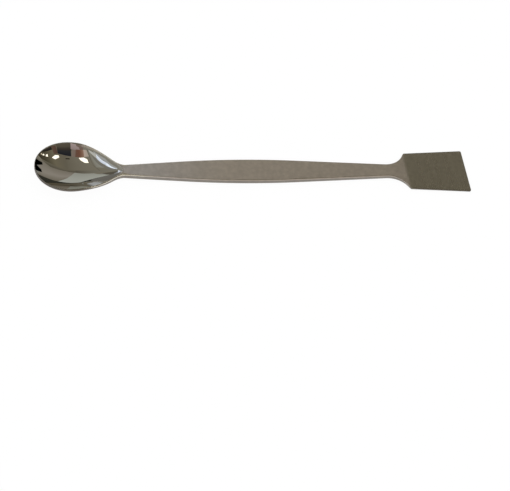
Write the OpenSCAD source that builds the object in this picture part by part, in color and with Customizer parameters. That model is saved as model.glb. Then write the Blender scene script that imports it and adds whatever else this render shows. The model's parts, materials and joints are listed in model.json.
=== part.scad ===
// Double-ended laboratory spatula in stainless steel: an egg-shaped spoon
// at one end, a broad flared blade at the other, forged as a single piece.
//
// Lengths are millimetres.  Along the tool, distances run from the spoon's tip
// (0) to the end of the blade (overall_len).  Heights are taken from the flat
// top face of the handle until the finished tool is laid down to rest.

/* [Overall] */
// Length from the tip of the spoon to the end of the blade
overall_len = 210; // [190:1:240]

/* [Spoon] */
// Width of the spoon at its widest place
spoon_w = 28.4; // [24:0.2:32]
// Distance from the tip to the widest place
spoon_nose = 16; // [14:0.2:18]
// Distance from the tip to where the egg outline would close
spoon_len = 42.2; // [40:0.2:44]
// Depth of the hollow below its rim
hollow_depth = 4.3; // [3.6:0.1:5]
// Width of the rim that is left around the hollow
rim_w = 1; // [0.8:0.05:1.4]
// Height of the outer side of the rim
rim_side = 1; // [0.8:0.05:1.4]
// Thickness of the bowl at its lowest place
bowl_wall = 1.5; // [1.2:0.05:1.8]
// Height of the rim above the top face of the handle
rim_rise = 2.9; // [1.5:0.1:4]
// Length over which the rim climbs out of the neck
rise_len = 23.4; // [20:0.2:26]

/* [Neck] */
// Distance from the tip to the narrowest place behind the spoon
neck_x = 44; // [43:0.2:47]
// Width of the handle at the neck
neck_w = 6.6; // [5.5:0.1:8]
// Size of the fillet between the egg outline and the handle
neck_fillet = 3.4; // [2:0.1:5]
// Thickness of the handle at the neck
neck_t = 2.8; // [2.4:0.1:3.4]

/* [Handle] */
// Distance from the tip to the widest place of the handle
mid_x = 96; // [90:1:110]
// Width of the handle at its widest place
mid_w = 12.7; // [10:0.1:15]
// Thickness of the handle at its widest place
mid_t = 2.7; // [2.4:0.1:3.4]
// How far the two tapers are rounded into each other
mid_round = 3.4; // [2:0.1:5]
// Radius along the long edges
edge_r = 0.6; // [0.3:0.05:0.8]

/* [Blade] */
// Length of the blade from its shoulders to its end
blade_len = 30.5; // [26:0.5:38]
// Width of the handle where it starts to open into the blade
blade_neck_w = 7.3; // [6:0.1:9]
// Thickness of the handle where it starts to open into the blade
blade_neck_t = 2.4; // [2:0.1:2.8]
// Radius of the hollow curve from the handle to each shoulder
shoulder_r = 11; // [9:0.5:13]
// Width of the blade at its shoulders
shoulder_w = 21.5; // [18:0.5:24]
// How far each shoulder is rounded
shoulder_round = 1.7; // [0.5:0.1:3]
// Width of the blade at its end
end_w = 25; // [20:0.5:30]
// Thickness of the blade at its shoulders
shoulder_t = 1; // [0.8:0.05:1.5]
// Thickness of the blade at its end
end_t = 0.8; // [0.5:0.05:1]
// Radius of the two corners at the end
end_r = 0.9; // [0.3:0.1:3]

/* [Hidden] */

// Steps of the surface: spokes round half the spoon's nose, stations along
// each stretch, lanes across the top and the underside, steps of an edge arc.
nose_steps = 12;
tail_steps = 26;
handle_steps = 16;
shoulder_steps = 12;
corner_steps = 5;
lanes = 10;
arc_steps = 3;

shoulder_x = overall_len - blade_len;
// The end of the blade is made over-long and then cut square.
overrun = 2;
// Where the rim starts to climb.
rise_x = neck_x - 0.8;
// Where the hollow starts to close towards the neck, where it ends on the
// centre line, and how much sooner it ends beside the rim.
scoop_x = neck_x - 7;
scoop_end = neck_x - 1.5;
scoop_bulge = 3;
// The hollow gets shallower with this power of its width, and its section
// sharpens from a parabola in the nose to this power at the neck.
tail_power = 0.82;
tail_section = 1.6;
// Distance from the tip to the tool's centre of mass.
balance_x = 0.464 * overall_len;

// The fillet at the blade rises from the handle's half-width to the shoulder's.
fillet_rise = (shoulder_w - blade_neck_w) / 2;
fillet_run = sqrt(shoulder_r * shoulder_r - pow(max(shoulder_r - fillet_rise, 0), 2));
fillet_x = shoulder_x - fillet_run;

// The two tapers of the handle meet at a peak that the rounding takes down.
peak_half = mid_w / 2 + mid_round / 4;
front_slope = (peak_half - neck_w / 2) / (mid_x - neck_x);
rear_slope = (peak_half - blade_neck_w / 2) / (fillet_x - mid_x);

function clamp01(t) = max(0, min(1, t));
function ease(t) = let (c = clamp01(t)) c * c * (3 - 2 * c);
function mix(a, b, t) = a + (b - a) * t;

// Smaller or larger of two values, with the change-over rounded by k.
function round_min(a, b, k) = let (h = max(k - abs(a - b), 0)) min(a, b) - h * h / (4 * k);
function round_max(a, b, k) = -round_min(-a, -b, k);

// ---- Outline: half-widths at the distance x from the tip ----

function handle_half(x) =
    let (
        front = neck_w / 2 + (x - neck_x) * front_slope,
        rear = blade_neck_w / 2 + max(fillet_x - x, 0) * rear_slope
    )
    round_min(front, rear, mid_round);

function egg_half(x) =
    let (s = max(x - spoon_nose, 0) / (spoon_len - spoon_nose))
    spoon_w / 2 * (1 - s * s);

// Hollow curve at the blade: a circular arc that then runs off steeply.
function fillet_half(x) =
    let (run = max(x - fillet_x, 0), past = max(run - shoulder_r, 0))
    shoulder_r - sqrt(max(shoulder_r * shoulder_r - run * run, 0)) + 5 * past;

function blade_half(x) =
    mix(shoulder_w, end_w, (x - shoulder_x) / blade_len) / 2;

function outline_half(x) =
    x < fillet_x
        ? round_max(egg_half(x), handle_half(x), neck_fillet)
        : round_min(handle_half(x) + fillet_half(x), blade_half(x), shoulder_round);

// ---- Heights at the distance x from the tip ----

// From the handle (0) down to the thin blade (1), ending in a crease.
function blade_ramp(x) = pow(clamp01((x - fillet_x) / fillet_run), 2);
function blade_share(x) = clamp01((x - shoulder_x) / blade_len);

function handle_t(x) =
    let (
        before = clamp01((mid_x - x) / (mid_x - neck_x)),
        after = clamp01((x - mid_x) / (fillet_x - mid_x))
    )
    mid_t - (mid_t - neck_t) * before * before - (mid_t - blade_neck_t) * after * after;

function body_t(x) =
    handle_t(x) - (blade_neck_t - shoulder_t) * blade_ramp(x) - (shoulder_t - end_t) * blade_share(x);

// Top: the rim of the spoon, the flat handle, the ramp and the blade.
function top_z(x) =
    rim_rise * ease((rise_x - x) / rise_len)
    - (blade_neck_t - shoulder_t) / 2 * blade_ramp(x)
    - (shoulder_t - end_t) / 2 * blade_share(x);

// Height of the outer side: thin at the rim, the full thickness from the neck on.
function side_h(x) = mix(rim_side, body_t(x), ease(1 - (neck_x - x) / rise_len));

// Depth of the hollow at x, for the fraction u of its half-width.
function hollow_z(x, u) =
    let (
        width_share = (outline_half(x) - rim_w) / (spoon_w / 2 - rim_w),
        reach = scoop_end - scoop_bulge * u * u - scoop_x,
        close = sqrt(1 - pow(clamp01((x - scoop_x) / reach), 2)),
        section = mix(2, tail_section, clamp01((x - spoon_nose) / (scoop_end - spoon_nose)))
    )
    x > scoop_end ? 0 : hollow_depth * pow(width_share, tail_power) * (1 - pow(u, section)) * close;

// Underside on the centre line: below the hollow, or the bottom of the handle.
function keel_z(x) =
    x > neck_x
        ? top_z(x) - body_t(x)
        : -round_max(hollow_z(x, 0) + bowl_wall - top_z(x), body_t(x) - top_z(x), 1);

// ---- Stations: [centre, reach to the outline, unit inset] ----

function side_station(x, side) = [[x, 0], [0, side * outline_half(x)], [0, side]];
function nose_station(a) = [
    [spoon_nose, 0],
    [-spoon_nose * cos(a), spoon_w / 2 * sin(a)],
    [-cos(a), sin(a)]
];

side_xs = [
    for (i = [0:tail_steps - 1]) mix(spoon_nose, neck_x, i / tail_steps),
    for (i = [0:handle_steps - 1]) mix(neck_x, fillet_x, i / handle_steps),
    for (i = [0:shoulder_steps]) fillet_x + fillet_run * sin(90 * i / shoulder_steps),
    for (i = [1:corner_steps]) shoulder_x + 2 * shoulder_round * i / corner_steps,
    overall_len - end_r,
    overall_len + overrun
];
side_count = len(side_xs);

// Once round the tool: up one side, round the nose and back down the other.
stations = [
    for (i = [side_count - 1:-1:0]) side_station(side_xs[i], -1),
    for (i = [1 - nose_steps:nose_steps - 1]) nose_station(90 * i / nose_steps),
    for (i = [0:side_count - 1]) side_station(side_xs[i], 1)
];
station_count = len(stations);

// Point of a station: inset d from the outline, then the fraction f of what is left.
function plan(s, d, f) = s[0] + f * (s[1] - d * s[2]);

// Half a cross-section, from the top of the centre line round the edge to the keel.
function half_section(s) =
    let (
        x = s[0][0],
        side = side_h(x),
        r = min(edge_r, 0.3 * side),
        sag = top_z(x) - side - keel_z(x),
        turn = 90 - atan(2 * sag / norm(s[1])),
        under_d = r * (1 - cos(turn)),
        under_z = r * (1 - sin(turn)) - side
    )
    [
        for (i = [0:lanes])
            let (f = i / lanes, p = plan(s, rim_w, f)) [p[0], p[1], top_z(p[0]) - hollow_z(x, f)],
        for (i = [0:arc_steps])
            let (a = 90 * i / arc_steps, p = plan(s, r * (1 - sin(a)), 1))
                [p[0], p[1], top_z(p[0]) - r * (1 - cos(a))],
        for (i = [0:arc_steps])
            let (a = turn * i / arc_steps, p = plan(s, r * (1 - cos(a)), 1))
                [p[0], p[1], top_z(p[0]) - side + r * (1 - sin(a))],
        for (i = [lanes:-1:0])
            let (f = i / (lanes + 1), p = plan(s, under_d, f))
                [p[0], p[1], mix(keel_z(x), top_z(x) + under_z, f * f)]
    ];

sections = [for (s = stations) half_section(s)];
ring = len(sections[0]);

// The two sides share the centre line, and the whole nose shares one centre.
function at(i, k) =
    k == 0 || k == ring - 1
        ? min(i, station_count - 1 - i, side_count - 1) * ring + k
        : i * ring + k;

// Two triangles of a four-sided patch, less any that has shrunk to a line.
function patch(a, b, c, d) = [
    for (t = [[a, c, b], [a, d, c]])
        if (t[0] != t[1] && t[1] != t[2] && t[2] != t[0]) t
];

skin = [
    for (i = [0:station_count - 2])
        for (k = [0:ring - 2])
            each patch(at(i, k), at(i + 1, k), at(i + 1, k + 1), at(i, k + 1))
];
cap = [
    for (k = [0:ring / 2 - 2])
        each concat(
            patch(at(0, k), at(0, k + 1), at(0, ring - 2 - k), at(0, ring - 1 - k)),
            patch(at(station_count - 1, k), at(station_count - 1, ring - 1 - k),
                  at(station_count - 1, ring - 2 - k), at(station_count - 1, k + 1))
        )
];

// ---- Resting: on the two lowest places either side of the centre of mass ----

keel = [for (x = side_xs) if (x <= overall_len) [x, keel_z(x)], [overall_len, keel_z(overall_len)]];
// Height under the centre of mass and slope of each line between two such places.
supports = [
    for (a = keel, b = keel)
        if (a[0] < balance_x && b[0] > balance_x)
            let (slope = (b[1] - a[1]) / (b[0] - a[0]))
                [a[1] + slope * (balance_x - a[0]), slope]
];
lowest = min([for (s = supports) s[0]]);
tilt = atan([for (s = supports) if (s[0] == lowest) s[1]][0]);
function rested(x, z) = [x * cos(tilt) + z * sin(tilt), z * cos(tilt) - x * sin(tilt)];
rest_z = rested(balance_x, lowest)[1];
rest_min_x = min([for (sec = sections) for (p = sec) rested(p[0], p[2])[0]]);
rest_max_x = rested(overall_len, top_z(overall_len))[0];

// The forging, before the end of the blade is cut.
module forging() {
    polyhedron(points = [for (sec = sections) each sec], faces = concat(skin, cap));
}

// What is cut away to leave a square end with two small round corners.
module end_cut() {
    half = outline_half(overall_len);
    translate([0, 0, -10])
        linear_extrude(height = 20)
            difference() {
                translate([overall_len - end_r, -end_w])
                    square([overrun + end_r + 1, 2 * end_w]);
                for (side = [-1, 1])
                    translate([overall_len - end_r, side * (half - end_r)])
                        circle(r = end_r, $fn = 48);
                translate([overall_len - end_r, -half + end_r])
                    square([end_r, 2 * (half - end_r)]);
            }
}

module spoon_spatula() {
    color([0.56, 0.53, 0.48])
        translate([-(rest_min_x + rest_max_x) / 2, 0, -rest_z])
            rotate([0, tilt, 0])
                difference() {
                    forging();
                    end_cut();
                }
}

spoon_spatula();
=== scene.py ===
"""Looks, light and camera of a double-ended lab spatula in stainless steel.

The tool is one forging: an egg-shaped spoon polished to a mirror, a flat handle
blasted matte, and a broad flared blade with a satin grind.  It lies on a pale
floor, inside a tent of plain cards that a polished surface mirrors.

Sizes of the tool are in millimetres, as a maker would write them, and places in
the scene are in metres.  Along the tool, x runs from the tip of the spoon.
"""
import json
import logging
import math
from dataclasses import dataclass, field
from enum import Enum

import bmesh
import bpy
import numpy as np
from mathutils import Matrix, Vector


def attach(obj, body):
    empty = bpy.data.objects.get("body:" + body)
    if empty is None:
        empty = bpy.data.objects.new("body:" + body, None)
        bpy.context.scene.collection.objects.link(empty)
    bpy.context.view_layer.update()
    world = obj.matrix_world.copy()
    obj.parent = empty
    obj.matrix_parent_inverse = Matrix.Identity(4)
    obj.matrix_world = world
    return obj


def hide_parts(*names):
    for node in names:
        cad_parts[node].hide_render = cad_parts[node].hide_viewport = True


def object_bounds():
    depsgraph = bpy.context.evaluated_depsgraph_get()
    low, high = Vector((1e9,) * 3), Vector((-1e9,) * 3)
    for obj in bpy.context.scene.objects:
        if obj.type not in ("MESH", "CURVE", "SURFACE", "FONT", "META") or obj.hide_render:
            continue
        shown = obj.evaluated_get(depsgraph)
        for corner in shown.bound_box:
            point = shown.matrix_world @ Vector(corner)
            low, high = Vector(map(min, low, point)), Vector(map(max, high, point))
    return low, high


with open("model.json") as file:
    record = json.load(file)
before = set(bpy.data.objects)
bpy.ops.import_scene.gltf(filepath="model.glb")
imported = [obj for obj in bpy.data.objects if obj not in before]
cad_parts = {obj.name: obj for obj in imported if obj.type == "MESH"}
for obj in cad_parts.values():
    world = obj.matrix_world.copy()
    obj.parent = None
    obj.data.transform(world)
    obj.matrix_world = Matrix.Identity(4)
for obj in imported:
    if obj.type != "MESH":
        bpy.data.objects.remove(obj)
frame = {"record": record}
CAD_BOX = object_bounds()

logging.basicConfig(level=logging.INFO, format="%(message)s")
log = logging.getLogger("spatula")

NODE = "spoon_spatula"
BODY = "root"
MM = 0.001
# Points closer than this, in metres, are one point.
WELD = 2e-7
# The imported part's flat face that shows how the tool lies at rest.
REST_FACE = "handle_top"

Array = np.ndarray
Colour = tuple[float, float, float]
Point = tuple[float, float, float]
Sockets = dict[str, bpy.types.NodeSocket]
# Where something fades in: from nothing at the first place to full at the second.
Span = tuple[float, float]


# ---------------------------------------------------------------- small sums


def clamp01(value: Array) -> Array:
    """Value held between 0 and 1."""
    return np.clip(value, 0.0, 1.0)


def ease(value: Array) -> Array:
    """Smooth step from 0 to 1."""
    held = clamp01(value)
    return held * held * (3 - 2 * held)


def fade(place: Array, span: Span) -> Array:
    """Smooth step over a span, which may run either way."""
    start, end = span
    return ease((place - start) / (end - start))


def round_min(a: Array, b: Array, size: float) -> Array:
    """Smaller of a and b, with the change-over rounded by size."""
    return np.minimum(a, b) - np.maximum(size - np.abs(a - b), 0) ** 2 / (4 * size)


def round_max(a: Array, b: Array, size: float) -> Array:
    """Larger of a and b, with the change-over rounded by size."""
    return -round_min(-a, -b, size)


# ------------------------------------------------------------- sub-assemblies


@dataclass(frozen=True)
class Spoon:
    """Egg-shaped spoon at the front end.

    Attributes are millimetres: nose and length lie along the tool, and rise is
    the height of the rim above the handle's top face.  The rim stays fine over
    tip_length, and hollow_gap, keel_gap and rise_gap are how far before the neck
    the hollow, the bulge of the underside and the climb of the rim meet the handle.
    """

    width: float = 28.4
    nose: float = 16.0
    length: float = 42.2
    depth: float = 4.6
    floor_fall: float = 0.06
    floor_climb: float = 0.11
    floor_bend: float = 7.0
    rim: float = 0.6
    rim_tip: float = 0.2
    tip_length: float = 12.0
    rim_side: float = 1.4
    wall: float = 1.5
    rise: float = 2.9
    rise_length: float = 23.4
    rise_gap: float = 0.8
    keel_depth: float = 4.3
    keel_power: float = 0.82
    keel_rim: float = 1.0
    keel_blend: float = 1.0
    keel_gap: float = 1.5
    hollow_gap: float = 3.0
    tail_section: float = 1.6
    close_length: float = 2.4
    close_bulge: float = 0.8
    lip_fade: float = 3.0
    lip_least: float = 0.35

    def half_width(self, x: Array) -> Array:
        """Half-width of the egg outline behind the nose.

        Args:
            x: Distances from the tip.

        Returns:
            Half-widths, negative past the end of the egg.
        """
        share = np.maximum(x - self.nose, 0) / (self.length - self.nose)
        return self.width / 2 * (1 - share**2)

    def floor(self, x: Array) -> Array:
        """Height of the hollow's floor, which falls a little and then climbs to the neck.

        Args:
            x: Distances from the tip.

        Returns:
            Heights above the handle's top face.
        """
        behind = np.maximum(x - self.nose, 0)
        bend = (self.floor_fall + self.floor_climb) * self.floor_bend
        sunk = bend * (1 - np.exp(-behind / self.floor_bend))
        return self.rise - self.depth + self.floor_climb * behind - sunk

    def hollow(self, x: Array, ahead: Array, across: Array, rim_height: Array, end: float) -> Array:
        """Depth of the hollow below the rim.

        Args:
            x: Distances from the tip of the cross-sections.
            ahead: How far the points lie in front of the nose's centre.
            across: Fraction of the hollow's half-width, from 0 to 1.
            rim_height: Height of the rim at x.
            end: Where the hollow ends on the centre line.

        Returns:
            Depths, 0 past the end of the hollow.
        """
        start = end - self.close_length
        reach = self.close_length - self.close_bulge * across**2
        close = np.sqrt(1 - clamp01((x - start) / reach) ** 2)
        behind = clamp01((x - self.nose) / (end - self.nose))
        power = 2 + (self.tail_section - 2) * behind**2
        middle = rim_height - self.floor(x) - self.floor_fall * ahead
        depth = middle * (1 - across**power) * close
        return np.where(x > end, 0.0, depth)

    def keel(self, x: Array, outline: Array, end: float) -> Array:
        """How far the underside hangs below the rim on the centre line.

        Args:
            x: Distances from the tip.
            outline: Half-widths of the tool there.
            end: Where the bulge of the underside ends.

        Returns:
            Depths, the wall's thickness past the bulge.
        """
        share = np.maximum(outline - self.keel_rim, 0) / (self.width / 2 - self.keel_rim)
        close = np.sqrt(1 - clamp01((x - end + self.close_length) / self.close_length) ** 2)
        return self.keel_depth * share**self.keel_power * close + self.wall


@dataclass(frozen=True)
class Handle:
    """Flat handle that is widest and thickest near its middle."""

    neck_x: float = 44.0
    neck_width: float = 6.6
    neck_fillet: float = 3.4
    neck_thick: float = 2.8
    mid_x: float = 96.0
    mid_width: float = 12.7
    mid_thick: float = 2.7
    mid_round: float = 3.4
    edge: float = 0.6
    rear_width: float = 7.3
    rear_thick: float = 2.4

    def half_width(self, x: Array, rear_x: float) -> Array:
        """Half-width of the two tapers and the rounded peak between them.

        Args:
            x: Distances from the tip.
            rear_x: Where the handle starts to open into the blade.

        Returns:
            Half-widths.
        """
        peak = self.mid_width / 2 + self.mid_round / 4
        front_slope = (peak - self.neck_width / 2) / (self.mid_x - self.neck_x)
        rear_slope = (peak - self.rear_width / 2) / (rear_x - self.mid_x)
        front = self.neck_width / 2 + (x - self.neck_x) * front_slope
        rear = self.rear_width / 2 + np.maximum(rear_x - x, 0) * rear_slope
        return round_min(front, rear, self.mid_round)

    def thickness(self, x: Array, rear_x: float) -> Array:
        """Thickness of the handle, before the blade thins it.

        Args:
            x: Distances from the tip.
            rear_x: Where the handle starts to open into the blade.

        Returns:
            Thicknesses.
        """
        before = clamp01((self.mid_x - x) / (self.mid_x - self.neck_x))
        after = clamp01((x - self.mid_x) / (rear_x - self.mid_x))
        front_loss = (self.mid_thick - self.neck_thick) * before**2
        rear_loss = (self.mid_thick - self.rear_thick) * after**2
        return self.mid_thick - front_loss - rear_loss


@dataclass(frozen=True)
class Blade:
    """Broad flared blade at the rear end, with two shoulders.

    The hollow curve into the handle turns outward over its fillet, and then
    leaves at the slope run_off, so that the flare cuts it off cleanly.
    """

    end_x: float = 210.0
    length: float = 30.5
    fillet: float = 11.0
    shoulder_width: float = 21.5
    shoulder_round: float = 1.7
    end_width: float = 25.0
    shoulder_thick: float = 1.0
    end_thick: float = 0.8
    corner: float = 0.9
    end_round: float = 0.18
    run_off: float = 5.0

    @property
    def shoulder_x(self) -> float:
        """Distance from the tip to the shoulders."""
        return self.end_x - self.length

    def fillet_run(self, handle: Handle) -> float:
        """Length of the hollow curve from the handle to a shoulder."""
        rise = (self.shoulder_width - handle.rear_width) / 2
        return math.sqrt(self.fillet**2 - max(self.fillet - rise, 0) ** 2)

    def fillet_half(self, x: Array, start: float) -> Array:
        """Half-width that the hollow curve adds, which then runs off steeply.

        Args:
            x: Distances from the tip.
            start: Where the curve starts.

        Returns:
            What is added to the handle's half-width.
        """
        run = np.maximum(x - start, 0)
        arc = self.fillet - np.sqrt(np.maximum(self.fillet**2 - run**2, 0))
        return arc + self.run_off * np.maximum(run - self.fillet, 0)

    def half_width(self, x: Array) -> Array:
        """Half-width of the straight flare."""
        share = (x - self.shoulder_x) / self.length
        return (self.shoulder_width + (self.end_width - self.shoulder_width) * share) / 2


class Zone(Enum):
    """Stretches of a half cross-section, from the top centre to the keel."""

    HOLLOW = "hollow"
    RIM = "rim"
    EDGE = "edge"
    UNDER = "under"


@dataclass(frozen=True)
class FinishMap:
    """Where the finishes lie.

    Spans are millimetres from the tip, apart from these: inside counts from the
    end of the hollow, outside from the neck, grind and grey_blade from the
    shoulders, lip_across is a share of the hollow's half-width, and the span of
    the shade on the top edge's arc a share of the turn from the top to the side.
    Shares say how far a finish reaches where it lies.  Some of these lay painted
    light and not a finish: painted shade on the sides, deeper at the bowl and the
    nose and greyer towards the rear, and a painted highlight along the far lip,
    the rim and the neck's edges.
    """

    inside: Span = (0.6, -0.6)
    outside: Span = (1.0, -8.0)
    outside_share: float = 0.8
    near_rim: Span = (34.0, 24.0)
    far_rim: Span = (24.0, 14.0)
    grind: Span = (-1.2, 1.0)
    rear: Span = (44.0, 94.0)
    # Painted shade: the sides darken further at the bowl and the nose, as they do at the blade.
    deep_shade_bowl: Span = (27.0, 21.0)
    deep_shade_tip: Span = (10.0, 3.0)
    bowl_share: float = 0.6
    # Painted highlight: where a bright streak lies along the far lip, the rim and the neck's edges.
    painted_highlight: Span = (20.0, 24.0)
    highlight_edge: Span = (62.0, 42.0)
    highlight_rim: Span = (37.0, 33.0)
    lip_front: Span = (21.0, 23.0)
    lip_back: Span = (43.0, 40.0)
    lip_across: Span = (0.92, 0.95)
    # Painted shade: how far the dark flank climbs the top edge's arc, further at the bowl.
    shade_arc: Span = (0.7, 1.0)
    shade_bowl: Span = (27.0, 23.0)
    bowl_lead: float = 0.65
    # Painted shade: the top edge greys towards the handle's rear and on the blade.
    grey_handle: Span = (60.0, 90.0)
    grey_blade: Span = (0.0, 4.0)
    grey_share: float = 0.35
    # Painted shade: the underside's outer rings take part of the flank's darkness.
    under_rings: int = 2
    under_share: float = 0.6


def close_skin(mesh: bpy.types.Mesh) -> None:
    """Welds points that coincide, drops faces lost by it and turns the rest outward.

    Args:
        mesh: The skin, which is changed in place.
    """
    skin = bmesh.new()
    skin.from_mesh(mesh)
    bmesh.ops.remove_doubles(skin, verts=skin.verts, dist=WELD)
    bmesh.ops.dissolve_degenerate(skin, edges=skin.edges, dist=WELD)
    bmesh.ops.recalc_face_normals(skin, faces=skin.faces)
    skin.to_mesh(mesh)
    skin.free()


@dataclass
class Spatula:
    """The whole tool: spoon, handle and blade in one skin.

    Attributes:
        spoon: Sizes of the spoon.
        handle: Sizes of the handle.
        blade: Sizes of the blade.
        finishes: Where its finishes lie.
        edge_share: Most that the edge's rounding takes of the side's height.
        tip_edge: Share of the edge's rounding that is left at the tip.
        lane_end: Where the hollow's even lanes end, as a share of its half-width.
        rim_lanes: The lanes beside the rim, closer together.
        rim_shares: Where the two rings on the rim lie, from lip to edge.

    The steps say how finely each stretch of the skin is divided.
    """

    spoon: Spoon = field(default_factory=Spoon)
    handle: Handle = field(default_factory=Handle)
    blade: Blade = field(default_factory=Blade)
    finishes: FinishMap = field(default_factory=FinishMap)
    edge_share: float = 0.3
    tip_edge: float = 0.4
    lane_end: float = 0.96
    rim_lanes: tuple[float, ...] = (0.97, 0.98, 0.987, 0.993, 0.997, 1.0)
    rim_shares: tuple[float, float] = (0.06, 0.5)
    nose_steps: int = 60
    spoon_steps: int = 120
    handle_steps: int = 80
    fillet_steps: int = 36
    shoulder_steps: int = 18
    blade_steps: int = 12
    corner_steps: int = 8
    arc_steps: int = 6
    lane_steps: int = 32
    under_steps: int = 18

    @property
    def fillet_x(self) -> float:
        """Where the handle starts to open into the blade."""
        return self.blade.shoulder_x - self.blade.fillet_run(self.handle)

    @property
    def hollow_end(self) -> float:
        """Where the hollow ends on the centre line."""
        return self.handle.neck_x - self.spoon.hollow_gap

    @property
    def keel_end(self) -> float:
        """Where the bulge of the underside ends."""
        return self.handle.neck_x - self.spoon.keel_gap

    @property
    def rise_x(self) -> float:
        """Where the rim starts to climb."""
        return self.handle.neck_x - self.spoon.rise_gap

    # ---- profile along the tool

    def outline(self, x: Array) -> Array:
        """Half-width of the whole tool.

        Args:
            x: Distances from the tip.

        Returns:
            Half-widths.
        """
        handle = self.handle.half_width(x, self.fillet_x)
        front = round_max(self.spoon.half_width(x), handle, self.handle.neck_fillet)
        flare = handle + self.blade.fillet_half(x, self.fillet_x)
        rear = round_min(flare, self.blade.half_width(x), self.blade.shoulder_round)
        return np.where(x < self.fillet_x, front, rear)

    def body_thick(self, x: Array) -> Array:
        """Thickness of the handle and the blade.

        Args:
            x: Distances from the tip.

        Returns:
            Thicknesses.
        """
        ramp = self.ramp(x)
        share = clamp01((x - self.blade.shoulder_x) / self.blade.length)
        thick = self.handle.thickness(x, self.fillet_x)
        thick = thick - (self.handle.rear_thick - self.blade.shoulder_thick) * ramp
        return thick - (self.blade.shoulder_thick - self.blade.end_thick) * share

    def ramp(self, x: Array) -> Array:
        """From the handle (0) down to the thin blade (1), ending in a crease."""
        run = self.blade.shoulder_x - self.fillet_x
        return clamp01((x - self.fillet_x) / run) ** 2

    def top(self, x: Array) -> Array:
        """Height of the top: the rim, the flat handle, the ramp and the blade.

        Args:
            x: Distances from the tip.

        Returns:
            Heights above the handle's top face.
        """
        share = clamp01((x - self.blade.shoulder_x) / self.blade.length)
        climb = self.spoon.rise * ease((self.rise_x - x) / self.spoon.rise_length)
        drop = (self.handle.rear_thick - self.blade.shoulder_thick) / 2 * self.ramp(x)
        return climb - drop - (self.blade.shoulder_thick - self.blade.end_thick) / 2 * share

    def side(self, x: Array) -> Array:
        """Height of the outer side, thin at the rim and full from the neck on."""
        share = ease(1 - (self.handle.neck_x - x) / self.spoon.rise_length)
        return self.spoon.rim_side + (self.body_thick(x) - self.spoon.rim_side) * share

    def hollow(self, x: Array, place: Array, across: Array) -> Array:
        """Depth of the hollow.

        Args:
            x: Distances from the tip of the cross-sections.
            place: Distances from the tip of the points themselves.
            across: Fraction of the hollow's half-width, from 0 to 1.

        Returns:
            Depths below the rim.
        """
        ahead = np.maximum(self.spoon.nose - place, 0)
        return self.spoon.hollow(x, ahead, across, self.top(x), self.hollow_end)

    def rim_inset(self, x: Array, edge: Array) -> Array:
        """How far the hollow's lip lies inside the outline.

        Args:
            x: Distances from the tip of the cross-sections.
            edge: Distances from the tip of their ends on the outline.

        Returns:
            Insets, fine at the tip of the spoon; the lip draws in to a point at the neck.
        """
        spoon = self.spoon
        vee = np.maximum(spoon.half_width(x) - spoon.rim, spoon.lip_least)
        extra = self.outline(x) - spoon.rim - vee
        inset = spoon.rim_tip + (spoon.rim - spoon.rim_tip) * ease(edge / spoon.tip_length)
        drawn_in = 1 - ease((x - self.hollow_end) / spoon.lip_fade)
        return inset + extra * drawn_in * (x > spoon.nose)

    def keel(self, x: Array) -> Array:
        """Height of the underside on the centre line.

        Args:
            x: Distances from the tip.

        Returns:
            Heights above the handle's top face, all negative.
        """
        top = self.top(x)
        thick = self.body_thick(x)
        bowl = self.spoon.keel(x, self.outline(x), self.keel_end)
        merged = -round_max(bowl - top, thick - top, self.spoon.keel_blend)
        return np.where(x > self.handle.neck_x, top - thick, merged)

    # ---- mesh

    def side_stations(self) -> Array:
        """Places of the cross-sections on one side, from the nose's centre to the end.

        Returns:
            Distances from the tip.
        """
        spoon, handle, blade = self.spoon, self.handle, self.blade
        corner = blade.end_x - blade.corner
        past_shoulder = blade.shoulder_x + 2 * blade.shoulder_round
        quarter = np.pi / 2
        return np.concatenate([
            np.linspace(spoon.nose, handle.neck_x, self.spoon_steps, endpoint=False),
            np.linspace(handle.neck_x, self.fillet_x, self.handle_steps, endpoint=False),
            self.fillet_x + (blade.shoulder_x - self.fillet_x)
            * np.sin(quarter * np.arange(self.fillet_steps) / self.fillet_steps),
            np.linspace(blade.shoulder_x, past_shoulder, self.shoulder_steps, endpoint=False),
            np.linspace(past_shoulder, corner, self.blade_steps, endpoint=False),
            corner + blade.corner * np.sin(quarter * np.arange(self.corner_steps + 1) / self.corner_steps),
        ])

    def stations(self) -> tuple[Array, Array, Array, int]:
        """Cross-sections once round the tool, up one side and down the other.

        Returns:
            Centres, reaches to the outline and unit insets, each one row per
            station, and the number of stations on one side.
        """
        xs = self.side_stations()
        half = self.outline(xs)
        corner = self.blade.corner
        start = self.blade.end_x - corner
        lost = corner - np.sqrt(np.maximum(corner**2 - np.maximum(xs - start, 0) ** 2, 0))
        half = np.where(xs > start, half - lost, half)
        turn = np.pi / 2 * np.arange(1 - self.nose_steps, self.nose_steps) / self.nose_steps
        nose = self.spoon.nose
        flat = np.zeros_like(xs)
        still = np.zeros_like(turn)
        centres = np.concatenate([
            np.stack([xs[::-1], flat], 1),
            np.stack([still + nose, still], 1),
            np.stack([xs, flat], 1),
        ])
        reaches = np.concatenate([
            np.stack([flat, -half[::-1]], 1),
            np.stack([-nose * np.cos(turn), self.spoon.width / 2 * np.sin(turn)], 1),
            np.stack([flat, half], 1),
        ])
        insets = np.concatenate([
            np.stack([flat, flat - 1], 1),
            np.stack([-np.cos(turn), np.sin(turn)], 1),
            np.stack([flat, flat + 1], 1),
        ])
        return centres, reaches, insets, len(xs)

    def lanes(self) -> Array:
        """Fractions of the hollow's half-width, closer together beside the rim."""
        return np.concatenate([np.linspace(0, self.lane_end, self.lane_steps + 1), self.rim_lanes])

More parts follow.
